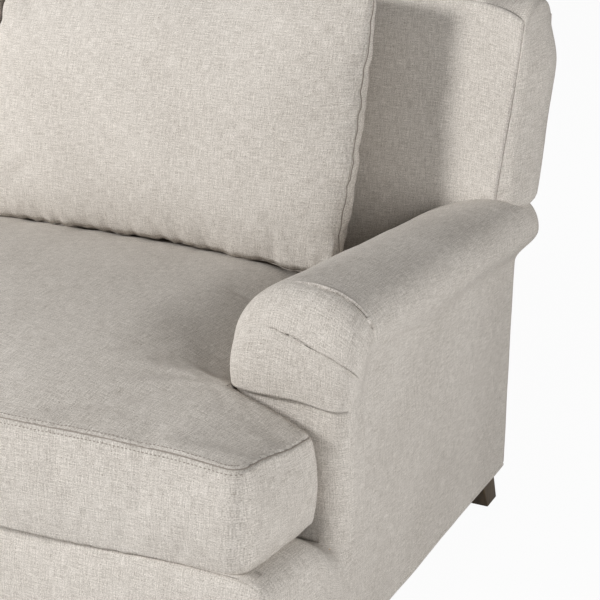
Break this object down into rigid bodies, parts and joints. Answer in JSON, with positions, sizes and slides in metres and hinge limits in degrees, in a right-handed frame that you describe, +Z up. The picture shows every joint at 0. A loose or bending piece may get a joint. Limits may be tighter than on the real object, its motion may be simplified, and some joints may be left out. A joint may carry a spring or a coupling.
{
  "type": "rolled arm loveseat",
  "caption": "Upholstered loveseat with low rolled arms set back behind a T-shaped bench seat cushion, loose back cushions, a raked padded back and dark tapered wood legs.",
  "frame": {"origin": "on the floor, under the middle of the loveseat's overall box", "axes": "+X to the right as seen from the front, along the width; the front faces -Y; +Z up"},
  "size_m": [1.856, 0.9768, 0.8769],
  "materials": {
    "linen": "matte",
    "leg_wood": "satin",
    "frame_wood": "matte",
    "webbing": "matte",
    "foam": "matte",
    "fibre": "matte",
    "deck_cloth": "matte",
    "dust_cloth": "matte",
    "steel": "satin",
    "glide": "matte"
  },
  "bodies": {
    "frame": {"arm_bolts": "steel", "back_lower_rail": "frame_wood", "back_top_cover": "linen", "back_top_rail": "frame_wood", "back_webbing": "webbing", "centre_back_post": "frame_wood", "centre_rail": "frame_wood", "corner_blocks": "frame_wood", "cross_webbing": "webbing", "deck_cloth": "deck_cloth", "deck_pad": "foam", "dust_cover": "dust_cloth", "front_border": "linen", "front_rail": "frame_wood", "inside_back": "linen", "left_arm_cover": "linen", "left_arm_front": "linen", "left_arm_post": "frame_wood", "left_arm_rail": "frame_wood", "left_back_post": "frame_wood", "left_back_side": "linen", "left_front_leg": "leg_wood", "left_ledge": "linen", "left_outside_arm": "linen", "left_rear_leg": "leg_wood", "left_side_rail": "frame_wood", "leg_bolts": "steel", "leg_glides": "glide", "leg_plates": "steel", "outside_back": "linen", "rear_rail": "frame_wood", "right_arm_cover": "linen", "right_arm_front": "linen", "right_arm_post": "frame_wood", "right_arm_rail": "frame_wood", "right_back_post": "frame_wood", "right_back_side": "linen", "right_front_leg": "leg_wood", "right_ledge": "linen", "right_outside_arm": "linen", "right_rear_leg": "leg_wood", "right_side_rail": "frame_wood", "seat_webbing": "webbing"},
    "seat_cushion": {"seat_cushion": "linen", "seat_core": "foam"},
    "right_back_cushion": {"right_back_cushion": "linen", "right_back_fill": "fibre"},
    "left_back_cushion": {"left_back_cushion": "linen", "left_back_fill": "fibre"}
  },
  "joints": [
    {"name": "seat_cushion_out", "type": "slide", "parent": "frame", "child": "seat_cushion", "axis": [0, -1, 0], "range_m": [0, 0.72]},
    {"name": "right_back_cushion_lift", "type": "slide", "parent": "frame", "child": "right_back_cushion", "axis": [0, 0.225, 0.9744], "range_m": [0, 0.45]},
    {"name": "left_back_cushion_lift", "type": "slide", "parent": "frame", "child": "left_back_cushion", "axis": [0, 0.225, 0.9744], "range_m": [0, 0.45]}
  ]
}
